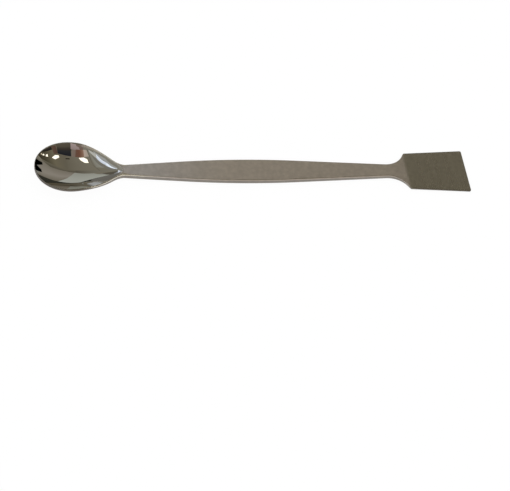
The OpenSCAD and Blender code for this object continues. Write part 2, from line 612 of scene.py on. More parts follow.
    def section_points(self) -> tuple[Array, list[Zone], int]:
        """Points of every half cross-section.

        Returns:
            Points as stations by ring by 3, the zone of each ring place, and
            the number of stations on one side.
        """
        centres, reaches, insets, count = self.stations()
        x = centres[:, 0]
        top, side, keel = self.top(x), self.side(x), self.keel(x)
        tip = np.minimum(x + reaches[:, 0], self.spoon.nose) / self.spoon.nose
        fullness = self.tip_edge + (1 - self.tip_edge) * ease(tip)
        radius = np.minimum(self.handle.edge, self.edge_share * side) * fullness
        sag = top - side - keel
        turn = np.pi / 2 - np.arctan(2 * sag / np.linalg.norm(reaches, axis=1))
        # The end face of the blade has a fine break all round.
        from_end = np.maximum(x - (self.blade.end_x - self.blade.end_round), 0)
        fine = self.blade.end_round
        broken = fine - np.sqrt(np.maximum(fine**2 - from_end**2, 0))

        def plan(inset: Array, share: float) -> Array:
            """Plan of each station, inset from the outline, at a share of the rest."""
            return centres + share * (reaches - inset[:, None] * insets)

        def row(place: Array, height: Array) -> Array:
            """Points at a plan place and a height."""
            return np.column_stack([place, height])

        flat = np.zeros_like(x)
        lip = self.rim_inset(x, x + reaches[:, 0])
        rows: list[Array] = []
        zones: list[Zone] = []
        for share in self.lanes():
            place = plan(lip, share)
            depth = self.hollow(x, place[:, 0], flat + share)
            rows.append(row(place, self.top(place[:, 0]) - depth - broken))
            zones.append(Zone.HOLLOW)
        for share in self.rim_shares:
            place = plan(lip + (radius - lip) * share, 1.0)
            rows.append(row(place, self.top(place[:, 0]) - broken))
            zones.append(Zone.RIM)
        for step in range(self.arc_steps + 1):
            angle = np.pi / 2 * step / self.arc_steps
            place = plan(radius * (1 - math.sin(angle)), 1.0)
            lowered = radius * (1 - math.cos(angle))
            rows.append(row(place, self.top(place[:, 0]) - np.maximum(lowered, broken)))
            zones.append(Zone.EDGE)
        for step in range(self.arc_steps + 1):
            angle = turn * step / self.arc_steps
            place = plan(radius * (1 - np.cos(angle)), 1.0)
            raised = np.maximum(radius * (1 - np.sin(angle)), broken)
            rows.append(row(place, self.top(place[:, 0]) - side + raised))
            zones.append(Zone.EDGE)
        under_inset = radius * (1 - np.cos(turn))
        under = top - side + np.maximum(radius * (1 - np.sin(turn)), broken)
        floor = keel + broken
        for share in np.linspace(1, 0, self.under_steps + 1):
            place = plan(under_inset, share)
            rows.append(row(place, floor + (under - floor) * share**2))
            zones.append(Zone.UNDER)
        return np.stack(rows, 1), zones, count

    def lie(self, points: Array) -> Array:
        """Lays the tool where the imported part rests.

        The lean of the part's flat top gives the tilt, and its box the place;
        a skin that stands a hair outside the box is drawn back into it.

        Args:
            points: Points in millimetres along the tool, one per row.

        Returns:
            The same points in the scene, in metres.
        """
        face = next(mount for mount in frame["record"]["mounts"] if mount["name"] == REST_FACE)
        lean, _, upright = face["axis"]
        tilt = math.atan2(lean, upright)
        x, y, z = points.T
        laid = MM * np.column_stack([
            x * math.cos(tilt) + z * math.sin(tilt),
            y,
            z * math.cos(tilt) - x * math.sin(tilt),
        ])
        low, high = np.array(CAD_BOX)
        laid[:, 0] += (low[0] + high[0] - laid[:, 0].min() - laid[:, 0].max()) / 2
        laid[:, 2] += low[2] - laid[:, 2].min()
        return np.clip(laid, low, high)

    def masks(self, points: Array, zones: list[Zone]) -> dict[str, Array]:
        """How far each finish reaches, per point.

        Args:
            points: Points in millimetres, as stations by ring by 3.
            zones: Zone of each ring place.

        Returns:
            Masks from 0 to 1, by name: the mirror polish, the satin grind, the
            worn edges, the painted shade on the flanks and where it is deepest, the
            greyer rear of the blasting, and the painted highlight along the neck's
            edges, the rim and the far lip.
        """
        finish = self.finishes
        x, y = points[..., 0], points[..., 1]
        hollow, rim, edge, under = (np.array([zone is kind for zone in zones])[None, :] for kind in Zone)
        polish_rim = np.where((y > 0) & rim, fade(x, finish.far_rim), fade(x, finish.near_rim))
        polish = np.select(
            [hollow, under, rim | edge],
            [
                fade(x - self.hollow_end, finish.inside),
                finish.outside_share * fade(x - self.handle.neck_x, finish.outside),
                polish_rim,
            ],
        )
        grind = fade(x - self.blade.shoulder_x, finish.grind)
        lanes = self.lanes()
        across = np.concatenate([lanes, np.zeros(len(zones) - len(lanes))])[None, :]
        # Painted highlight: the far lip of the hollow, and the rim near the neck.
        lip = (y > 0) * fade(across, finish.lip_across)
        lip = lip * fade(x, finish.lip_front) * fade(x, finish.lip_back)
        on_rim = np.maximum(lip, rim * fade(x, finish.highlight_rim))
        # Deeper painted shade on the sides at the bowl and at the nose.
        on_bowl = finish.bowl_share * fade(x, finish.deep_shade_bowl)
        on_tip = (1 - finish.bowl_share) * fade(x, finish.deep_shade_tip)
        return {
            "polish": polish,
            "grind": grind,
            "edge": edge * np.ones_like(x),
            # Painted shade on the sides, deeper at the blade, the bowl and the nose.
            "shaded_flank": self.shaded_flank(points, zones),
            # Where the painted shade on the sides is deepest: at the blade, the bowl and the nose.
            "deep_shade": np.maximum(grind, on_bowl + on_tip),
            "rear": fade(x, finish.rear),
            # Painted highlight along the neck's edges, the rim and the far lip.
            "painted_highlight": fade(x, finish.painted_highlight) * np.where(edge, fade(x, finish.highlight_edge), on_rim),
        }

    def shaded_flank(self, points: Array, zones: list[Zone]) -> Array:
        """How far the painted shade on the flank reaches, below the rounded top edge.

        Args:
            points: Points in millimetres, as stations by ring by 3.
            zones: Zone of each ring place.

        Returns:
            The mask, 1 on the upright sides.
        """
        finish = self.finishes
        edges = [place for place, zone in enumerate(zones) if zone is Zone.EDGE]
        under = [place for place, zone in enumerate(zones) if zone is Zone.UNDER]
        upper, lower = edges[:self.arc_steps + 1], edges[self.arc_steps + 1:]
        mask = np.zeros(points.shape[:2])
        # The painted shade climbs further up the top edge's arc at the bowl.
        lead = finish.bowl_lead * fade(points[:, upper[0], 0], finish.shade_bowl)
        for step, place in enumerate(upper):
            along = points[:, place, 0]
            shaded = fade(step / self.arc_steps + lead, finish.shade_arc)
            # Painted shade also greys the top edge towards the handle's rear and on the blade.
            grey = fade(along, finish.grey_handle) + fade(along - self.blade.shoulder_x, finish.grey_blade)
            mask[:, place] = np.maximum(shaded, finish.grey_share * grey)
        # Painted shade fills the lower arc of the side, and in part the underside's outer rings.
        mask[:, lower] = 1.0
        mask[:, under[:finish.under_rings]] = finish.under_share
        return mask

    def build(self) -> bpy.types.Object:
        """Makes the skin of the tool as one closed mesh with its finish masks.

        Returns:
            The tool's object, still undressed.
        """
        points, zones, count = self.section_points()
        stations, ring = points.shape[:2]
        masks = self.masks(points, zones)
        number = np.arange(stations * ring).reshape(stations, ring)
        # The two sides share the centre line, and the whole nose one centre.
        mirror = np.minimum(np.arange(stations), stations - 1 - np.arange(stations))
        shared = np.minimum(mirror, count - 1)
        number[:, 0] = shared * ring
        number[:, -1] = shared * ring + ring - 1
        quads = np.stack([number[:-1, :-1], number[:-1, 1:], number[1:, 1:], number[1:, :-1]], -1)
        faces = [tuple(dict.fromkeys(quad)) for quad in quads.reshape(-1, 4).tolist()]
        faces += [tuple(number[0, ::-1].tolist()), tuple(number[-1].tolist())]
        faces = [face for face in faces if len(face) > 2]
        used = np.unique(np.concatenate([np.array(face) for face in faces]))
        renumber = np.full(stations * ring, -1)
        renumber[used] = np.arange(len(used))
        mesh = bpy.data.meshes.new("spatula")
        laid = self.lie(points.reshape(-1, 3)[used])
        mesh.from_pydata(laid.tolist(), [], [tuple(renumber[list(face)].tolist()) for face in faces])
        for name, values in masks.items():
            layer = mesh.attributes.new(name, "FLOAT", "POINT")
            layer.data.foreach_set("value", values.reshape(-1)[used].astype(np.float32))
        close_skin(mesh)
        mesh.shade_smooth()
        piece = bpy.data.objects.new("spatula", mesh)
        bpy.context.scene.collection.objects.link(piece)
        return piece

    def dress(self, piece: bpy.types.Object, steel: "ForgedSteel") -> None:
        """Gives the tool its steel and names what it stands for.

        Args:
            piece: The tool's object.
            steel: Its finishes.
        """
        piece.data.materials.append(steel.material())
        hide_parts(NODE)
        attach(piece, BODY)


# ------------------------------------------------------------------- finishes


@dataclass(frozen=True)
class SteelFinish:
    """One way that the steel is finished.

    Attributes:
        tint: Colour of the bare steel, linear.
        roughness: Mean roughness.
        spread: How far the roughness wanders.
        relief: Height of the finish's own grain, in metres.
    """

    tint: Colour
    roughness: float
    spread: float = 0.0
    relief: float = 0.0


MIRROR = SteelFinish((0.60, 0.575, 0.53), 0.015, spread=0.007)
BLASTED = SteelFinish((0.65, 0.605, 0.58), 0.46, spread=0.05, relief=12e-6)
GROUND = SteelFinish((0.43, 0.40, 0.33), 0.28, spread=0.04, relief=0.8e-6)
# Painted shade: a dark tint that darkens the sides in place of the shade that falls there.
SHADED_FLANK = SteelFinish((0.25, 0.227, 0.20), 0.42)
# Painted highlight: a bright cream tint laid along the neck's edges, the rim and the far lip.
PAINTED_GLINT = SteelFinish((0.90, 0.86, 0.76), 0.22)


def opaque(tint: Colour) -> tuple[float, float, float, float]:
    """Tint with full cover, as a colour socket takes it."""
    return (*tint, 1.0)


class Nodes:
    """Short hand for adding and linking nodes in one tree."""

    def __init__(self, tree: bpy.types.NodeTree) -> None:
        """Keeps the tree that the nodes go into."""
        self.tree = tree

    def add(
        self, kind: str, inputs: dict[str | int, object] | None = None, **settings: object
    ) -> bpy.types.Node:
        """Adds a node.

        Args:
            kind: The node's type name.
            inputs: Values or sockets for its inputs, by name or number.
            settings: Properties of the node itself.

        Returns:
            The new node.
        """
        node = self.tree.nodes.new(kind)
        for name, value in settings.items():
            setattr(node, name, value)
        for name, value in (inputs or {}).items():
            if isinstance(value, bpy.types.NodeSocket):
                self.tree.links.new(value, node.inputs[name])
            else:
                node.inputs[name].default_value = value
        return node

    def math(self, operation: str, *values: object) -> bpy.types.NodeSocket:
        """Result of a Math node on the given values or sockets."""
        return self.add("ShaderNodeMath", dict(enumerate(values)), operation=operation).outputs[0]

    def noise(self, place: object, scale: object, detail: float, **more: float) -> bpy.types.NodeSocket:
        """Noise of a scale and detail, about 0.5 at its mean."""
        inputs = {"Vector": place, "Scale": scale, "Detail": detail, **more}
        return self.add("ShaderNodeTexNoise", inputs).outputs["Fac"]

    def remap(self, value: object, source: Span, target: Span = (0.0, 1.0)) -> bpy.types.NodeSocket:
        """Value moved from one range to another, and held inside it.

        Args:
            value: What is moved.
            source: Range that it comes from.
            target: Range that it goes to.

        Returns:
            The moved value.
        """
        names = ("From Min", "From Max", "To Min", "To Max")
        inputs = {"Value": value, **dict(zip(names, source + target))}
        return self.add("ShaderNodeMapRange", inputs).outputs[0]

    def mix(self, share: object, low: object, high: object) -> bpy.types.NodeSocket:
        """Value between low and high."""
        node = self.add("ShaderNodeMix", {0: share, 2: low, 3: high}, data_type="FLOAT")
        return node.outputs[0]

    def blend(self, share: object, low: object, high: object, how: str = "MIX") -> bpy.types.NodeSocket:
        """Colour between low and high."""
        node = self.add("ShaderNodeMix", {0: share, 6: low, 7: high}, data_type="RGBA", blend_type=how)
        return node.outputs[2]

    def mask(self, name: str) -> bpy.types.NodeSocket:
        """A mask that the mesh carries."""
        return self.add("ShaderNodeAttribute", attribute_name=name).outputs["Fac"]


def new_group(
    name: str, inputs: dict[str, float], outputs: tuple[str, ...]
) -> tuple[bpy.types.NodeTree, Nodes]:
    """Starts a node group for an effect.

    Args:
        name: Name of the group.
        inputs: Its number inputs with their defaults; it always takes Vector.
        outputs: Its number outputs.

    Returns:
        The group and a short hand for its nodes.
    """
    tree = bpy.data.node_groups.new(name, "ShaderNodeTree")
    tree.interface.new_socket("Vector", in_out="INPUT", socket_type="NodeSocketVector")
    for label, value in inputs.items():
        socket = tree.interface.new_socket(label, in_out="INPUT", socket_type="NodeSocketFloat")
        socket.default_value = value
    for label in outputs:
        tree.interface.new_socket(label, in_out="OUTPUT", socket_type="NodeSocketFloat")
    return tree, Nodes(tree)


def grain_group() -> bpy.types.NodeTree:
    """Even pitting of a blasted surface: fine grains and a broad mottle.

    Returns:
        The node group.
    """
    tree, nodes = new_group("blast_grain", {"Grain": 5200.0, "Mottle": 480.0}, ("Height", "Mottle"))
    source = nodes.add("NodeGroupInput").outputs
    fine = nodes.noise(source["Vector"], source["Grain"], detail=2.0)
    broad = nodes.noise(source["Vector"], source["Mottle"], detail=4.0)
    nodes.add("NodeGroupOutput", {"Height": fine, "Mottle": broad})
    return tree


def stroke_group() -> bpy.types.NodeTree:
    """Fine strokes of a belt or a wheel, long one way and close the other.

    Returns:
        The node group.
    """
    tree, nodes = new_group("stroke_lines", {"Along": 120.0, "Across": 7000.0}, ("Height", "Streak"))
    source = nodes.add("NodeGroupInput").outputs
    sizes = {0: source["Across"], 1: source["Along"], 2: source["Across"]}
    stretch = nodes.add("ShaderNodeCombineXYZ", sizes).outputs[0]
    scaled = nodes.add("ShaderNodeVectorMath", {0: source["Vector"], 1: stretch}, operation="MULTIPLY")
    fine = nodes.noise(scaled.outputs[0], scale=1.0, detail=2.0)
    wide = nodes.noise(scaled.outputs[0], scale=0.12, detail=2.0)
    nodes.add("NodeGroupOutput", {"Height": fine, "Streak": wide})
    return tree


def wear_group() -> bpy.types.NodeTree:
    """Handling: edges rubbed brighter in places, and faint wiped patches.

    Returns:
        The node group.
    """
    tree, nodes = new_group("handling_wear", {"Edge": 0.0, "Patch": 90.0}, ("Rub", "Wipe"))
    source = nodes.add("NodeGroupInput").outputs
    patchy = nodes.noise(source["Vector"], source["Patch"], detail=3.0)
    rub = nodes.remap(patchy, source=(0.35, 0.65), target=(0.45, 1.0))
    cloudy = nodes.noise(source["Vector"], scale=45.0, detail=2.0, Distortion=1.2)
    wipe = nodes.remap(cloudy, source=(0.4, 0.7))
    nodes.add("NodeGroupOutput", {"Rub": nodes.math("MULTIPLY", source["Edge"], rub), "Wipe": wipe})
    return tree


@dataclass(frozen=True)
class ForgedSteel:
    """Stainless steel in all its finishes, laid out by the mesh's masks.

    Attributes:
        mirror: Polish in the spoon.
        blasted: Matte handle.
        rear_tint: Colour that the blasting takes on towards the blade.
        ground: Satin blade.
        shaded_flank: Painted shade on the sides, a dark tint below the rounded top edge.
        deep_shade_tint: Colour of the painted shade on the sides where it is deepest: at the blade, the bowl
            and the nose.
        painted_glint: Painted highlight, a bright cream tint along the neck's edges, the rim and the far
            lip.
        mottle: Range over which the blasting's colour wanders.
        rubbed: Roughness of a rubbed edge.
        rub_share: How far the rubbing reaches.
    """

    mirror: SteelFinish = MIRROR
    blasted: SteelFinish = BLASTED
    rear_tint: Colour = (0.628, 0.558, 0.487)
    ground: SteelFinish = GROUND
    shaded_flank: SteelFinish = SHADED_FLANK
    deep_shade_tint: Colour = (0.12, 0.105, 0.09)
    painted_glint: SteelFinish = PAINTED_GLINT
    mottle: Span = (0.92, 1.08)
    rubbed: float = 0.16
    rub_share: float = 0.35

    def tint(self, nodes: Nodes, masks: Sockets, mottle: bpy.types.NodeSocket) -> bpy.types.NodeSocket:
        """Colour of the steel.

        Args:
            nodes: Short hand for the material's nodes.
            masks: The mesh's masks by name.
            mottle: The blasting's broad mottle.

        Returns:
            The colour, finish laid over finish.
        """
        tint = nodes.blend(masks["rear"], opaque(self.blasted.tint), opaque(self.rear_tint))
        # Grind and polish are finishes; the last one laid over is a painted highlight, a bright cream tint.
        for name, finish in (("grind", self.ground), ("polish", self.mirror), ("painted_highlight", self.painted_glint)):
            tint = nodes.blend(masks[name], tint, opaque(finish.tint))
        # Painted shade: the sides take a dark tint, darkest at the blade, the bowl and the nose.
        side = nodes.blend(masks["deep_shade"], opaque(self.shaded_flank.tint), opaque(self.deep_shade_tint))
        tint = nodes.blend(masks["shaded_flank"], tint, side)
        lively = nodes.remap(mottle, source=(0.3, 0.7), target=self.mottle)
        tone = nodes.mix(masks["dull"], 1.0, lively)
        grey = nodes.add("ShaderNodeCombineXYZ", {0: tone, 1: tone, 2: tone}).outputs[0]
        return nodes.blend(1.0, tint, grey, "MULTIPLY")

    def roughness(self, nodes: Nodes, masks: Sockets, effects: Sockets) -> bpy.types.NodeSocket:
        """Roughness of the steel.

        Args:
            nodes: Short hand for the material's nodes.
            masks: The mesh's masks by name.
            effects: What the effect groups put out, by name.

        Returns:
            The roughness, finish laid over finish.
        """
        def wander(finish: SteelFinish, share: bpy.types.NodeSocket) -> bpy.types.NodeSocket:
            """Roughness of a finish, wandering over its spread."""
            return nodes.mix(share, finish.roughness - finish.spread, finish.roughness + finish.spread)

        blasted = wander(self.blasted, effects["Mottle"])
        ground = wander(self.ground, effects["Streak"])
        mirror = wander(self.mirror, effects["Wipe"])
        rough = nodes.mix(masks["grind"], blasted, ground)
        rough = nodes.mix(nodes.math("MULTIPLY", effects["Rub"], self.rub_share), rough, self.rubbed)
        rough = nodes.mix(masks["polish"], rough, mirror)
        rough = nodes.mix(masks["painted_highlight"], rough, self.painted_glint.roughness)
        return nodes.mix(masks["shaded_flank"], rough, self.shaded_flank.roughness)

    def relief(self, nodes: Nodes, masks: Sockets, effects: Sockets) -> bpy.types.NodeSocket:
        """Height of the pits and strokes; the mirror has none.

        Args:
            nodes: Short hand for the material's nodes.
            masks: The mesh's masks by name.
            effects: What the effect groups put out, by name.

        Returns:
            The height, metres.
        """
        pits = nodes.math("MULTIPLY", effects["Grain"], self.blasted.relief)
        lines = nodes.math("MULTIPLY", effects["Strokes"], self.ground.relief)
        return nodes.math("MULTIPLY", nodes.mix(masks["grind"], pits, lines), masks["dull"])

    def material(self) -> bpy.types.Material:
        """Builds the material of the tool.

        Returns:
            The material.
        """
        material = bpy.data.materials.new("forged_steel")
        material.use_nodes = True
        tree = material.node_tree
        nodes = Nodes(tree)
        shader = tree.nodes["Principled BSDF"]
        shader.inputs["Metallic"].default_value = 1.0
        place = nodes.add("ShaderNodeTexCoord").outputs["Object"]
        names = ("polish", "grind", "edge", "rear", "painted_highlight", "shaded_flank", "deep_shade")
        masks = {name: nodes.mask(name) for name in names}
        masks["dull"] = nodes.math("SUBTRACT", 1.0, masks["polish"])

        def group(effect: bpy.types.NodeTree, **values: object) -> bpy.types.NodeOutputs:
            """Places a group with its own values."""
            return nodes.add("ShaderNodeGroup", {"Vector": place, **values}, node_tree=effect).outputs

        grain = group(grain_group())
        strokes = group(stroke_group())
        wear = group(wear_group(), Edge=masks["edge"])
        effects = {
            "Grain": grain["Height"], "Mottle": grain["Mottle"],
            "Strokes": strokes["Height"], "Streak": strokes["Streak"],
            "Rub": wear["Rub"], "Wipe": wear["Wipe"],
        }
        height = self.relief(nodes, masks, effects)
        bump = nodes.add("ShaderNodeBump", {"Height": height, "Distance": 1.0, "Strength": 1.0})
        tree.links.new(self.tint(nodes, masks, effects["Mottle"]), shader.inputs["Base Color"])
        tree.links.new(self.roughness(nodes, masks, effects), shader.inputs["Roughness"])
        tree.links.new(bump.outputs[0], shader.inputs["Normal"])
        return material


# --------------------------------------------------------------------- studio


@dataclass(frozen=True)
class Line:
    """One line across a card: directions from the spoon, and its glow, linear."""

    places: tuple[Point, ...]
    glow: Colour


@dataclass(frozen=True)
class TentCard:
    """One card that only polished and satin surfaces see.

    Attributes:
        name: Name of the card.
        lines: Lines across it, with as many places each; it fades between them.
        away: Distance of a wall or height of a ceiling, metres.
    """

    name: str
    lines: tuple[Line, ...]
    away: float


# Height, in degrees, at which walls end at the floor.
FLOOR_HEIGHT = -4


def around(*turns: tuple[float, float]) -> tuple[Point, ...]:
    """Directions from the spoon on a compass.

    Args:
        turns: Compass angle and height of each, degrees.

    Returns:
        Unit directions.
    """
    directions = []
    for azimuth, elevation in turns:
        turn, lift = math.radians(azimuth), math.radians(elevation)
        directions.append((math.cos(turn) * math.cos(lift), math.sin(turn) * math.cos(lift), math.sin(lift)))
    return tuple(directions)


def overhead(*places: tuple[float, float]) -> tuple[Point, ...]:
    """Directions to places on a ceiling one unit above the spoon."""
    return tuple((x, y, 1.0) for x, y in places)


def level(start: float, end: float, height: float, steps: int = 6) -> tuple[Point, ...]:
    """Directions along a level stretch of wall, between two compass angles."""
    return around(*((start + (end - start) * step / steps, height) for step in range(steps + 1)))


def upright(azimuth: float, top: float, foot: float) -> tuple[Point, ...]:
    """Directions to the top and the foot of an upright line on a wall."""
    return around((azimuth, top), (azimuth, foot))


def at_floor(*azimuths: float) -> tuple[Point, ...]:
    """Directions just below the horizon, at the given compass angles."""
    return around(*((azimuth, FLOOR_HEIGHT) for azimuth in azimuths))


def beam(x: float, start: float = -1.5, end: float = 1.3, steps: int = 6) -> tuple[Point, ...]:
    """Directions along a ceiling beam at x, between two places across."""
    return overhead(*((x, start + (end - start) * step / steps) for step in range(steps + 1)))


# Each card hangs at its own distance, and the nearer one covers the farther.

CEILING = (
    TentCard("ceiling", (
        Line(beam(1.7), (0.33, 0.31, 0.25)),
        Line(beam(1.15), (0.28, 0.26, 0.20)),
        Line(beam(0.97), (0.06, 0.05, 0.03)),
        Line(beam(0.80), (0.10, 0.09, 0.06)),
        Line(beam(0.55), (0.22, 0.20, 0.14)),
        Line(beam(0.25), (0.19, 0.175, 0.135)),
        Line(beam(-0.05), (0.27, 0.255, 0.205)),
        Line(beam(-0.35), (0.45, 0.46, 0.45)),
        Line(beam(-0.8), (1.20, 1.24, 1.27)),
        Line(beam(-1.7), (1.30, 1.35, 1.40)),
    ), away=1.40),
    TentCard("cornice", (
        Line(overhead((1.15, 0.46), (0.80, 0.52), (0.40, 0.61), (0.10, 0.66)), (0.20, 0.185, 0.14)),
        Line(overhead((1.15, 0.66), (0.80, 0.72), (0.40, 0.79), (0.10, 0.82)), (0.14, 0.13, 0.10)),
        Line(overhead((1.15, 0.90), (0.80, 0.96), (0.40, 1.00), (0.10, 1.00)), (0.14, 0.13, 0.10)),
    ), away=1.32),
    TentCard("cornice_right", (
        Line(overhead((0.10, 0.66), (0.10, 0.82), (0.10, 1.00)), (0.14, 0.13, 0.10)),
        Line(overhead((0.02, 0.66), (0.02, 0.82), (0.02, 1.00)), (0.20, 0.19, 0.155)),
        Line(overhead((-0.05, 0.66), (-0.05, 0.82), (-0.05, 1.00)), (0.27, 0.265, 0.225)),
    ), away=1.33),
    TentCard("near_ceiling", (
        Line(overhead((1.6, -0.55), (0.5, -0.55), (-0.3, -0.55), (-1.6, -0.55)), (0.15, 0.135, 0.105)),
        Line(overhead((1.6, -1.5), (0.5, -1.5), (-0.3, -1.5), (-1.6, -1.5)), (0.12, 0.11, 0.08)),
    ), away=1.38),
)

WALLS = (
    TentCard("far_wall", (
        Line(level(20, 95, 50), (0.30, 0.31, 0.30)),
        Line(level(20, 95, FLOOR_HEIGHT), (0.33, 0.33, 0.30)),
    ), away=2.6),
    TentCard("window_post", (
        Line(level(92, 114, 58), (0.14, 0.13, 0.105)),
        Line(level(92, 114, FLOOR_HEIGHT), (0.14, 0.13, 0.105)),
    ), away=2.5),
    TentCard("tip_light", (
        Line(upright(92.4, 42, 24), (0.30, 0.32, 0.35)),
        Line(upright(93.2, 42, 24), (0.50, 0.54, 0.60)),
        Line(upright(94.2, 42, 24), (1.10, 1.20, 1.40)),
        Line(upright(96.5, 42, 24), (1.10, 1.20, 1.40)),
        Line(upright(98.5, 42, 24), (0.35, 0.37, 0.38)),
        Line(upright(101, 42, 24), (0.26, 0.26, 0.25)),
    ), away=1.43),
    TentCard("tip_haze", (
        Line(around((94.3, 51), (94.0, 42)), (0.45, 0.48, 0.53)),
        Line(around((95.2, 53), (94.6, 42)), (0.80, 0.88, 1.00)),
        Line(around((98.5, 55), (97.5, 42)), (0.80, 0.88, 1.00)),
        Line(around((101, 55), (99.5, 42)), (0.30, 0.30, 0.29)),
    ), away=1.42),
    TentCard("window_wall", (
        Line(level(112, 182, 56), (1.80, 1.88, 2.00)),
        Line(level(112, 182, FLOOR_HEIGHT), (1.60, 1.68, 1.80)),
    ), away=2.6),
    TentCard("side_wall", (
        Line(level(-60, 20, 50), (0.13, 0.105, 0.075)),
        Line(level(-60, 20, FLOOR_HEIGHT), (0.13, 0.105, 0.075)),
    ), away=2.6),
    TentCard("near_wall", (
        Line(level(-182, -60, 50, 10), (0.20, 0.19, 0.165)),
        Line(level(-182, -60, FLOOR_HEIGHT, 10), (0.16, 0.15, 0.13)),
    ), away=2.6),
    TentCard("soft_near", (
        Line(level(-95, -35, 46), (0.75, 0.70, 0.60)),
        Line(level(-95, -35, 8), (1.0, 0.93, 0.80)),
    ), away=2.2),
    TentCard("wall_a", (
        Line(around((27, 42), (45, 42), (70, 50), (82, 49)), (0.27, 0.25, 0.21)),
        Line(around((53, 24), (63, 29), (72, 31), (80, 36)), (0.37, 0.345, 0.31)),
        Line(around((58, 15), (67, 11), (72, 10), (77, 18)), (0.22, 0.20, 0.16)),
    ), away=1.5),
    TentCard("wall_b", (
        Line(around((82, 49), (88, 45), (91, 43), (92, 26)), (0.42, 0.44, 0.41)),
        Line(around((80, 35), (88, 28), (91, 30), (92, 26)), (0.48, 0.51, 0.48)),
        Line(around((73, 11), (86, 8), (90, 8), (92, 20)), (0.55, 0.58, 0.56)),
    ), away=1.5),
    TentCard("skirting", (
        Line(
            around((52, 22), (58, 16), (70, 12), (88, 10), (92, 26), (97, 25), (112, 10)),
            (0.05, 0.05, 0.04),
        ),
        Line(at_floor(52, 58, 70, 88, 92, 97, 112), (0.03, 0.03, 0.025)),
    ), away=1.45),
    TentCard("skirting_right", (
        Line(around((89, 12), (92, 26), (97, 25), (112, 10)), (0.21, 0.21, 0.20)),
        Line(at_floor(89, 92, 97, 112), (0.19, 0.185, 0.17)),
    ), away=1.44),
    TentCard("foliage_top", (
        Line(around((36, 34), (32, 38), (36, 40)), (0.0, 0.0, 0.0)),
        Line(around((45, 27), (43, 31), (41, 37)), (0.0, 0.0, 0.0)),
    ), away=1.4),
    TentCard("foliage_low", (
        Line(around((45, 27), (43, 31), (50, 28)), (0.0, 0.0, 0.0)),
        Line(around((51, 22), (53, 22), (55, 23)), (0.0, 0.0, 0.0)),
    ), away=1.4),
    TentCard("pale_left", (
        Line(around((22, 44), (30, 43)), (0.33, 0.31, 0.25)),
        Line(around((30, 39), (35, 40)), (0.25, 0.24, 0.20)),
    ), away=1.45),
)

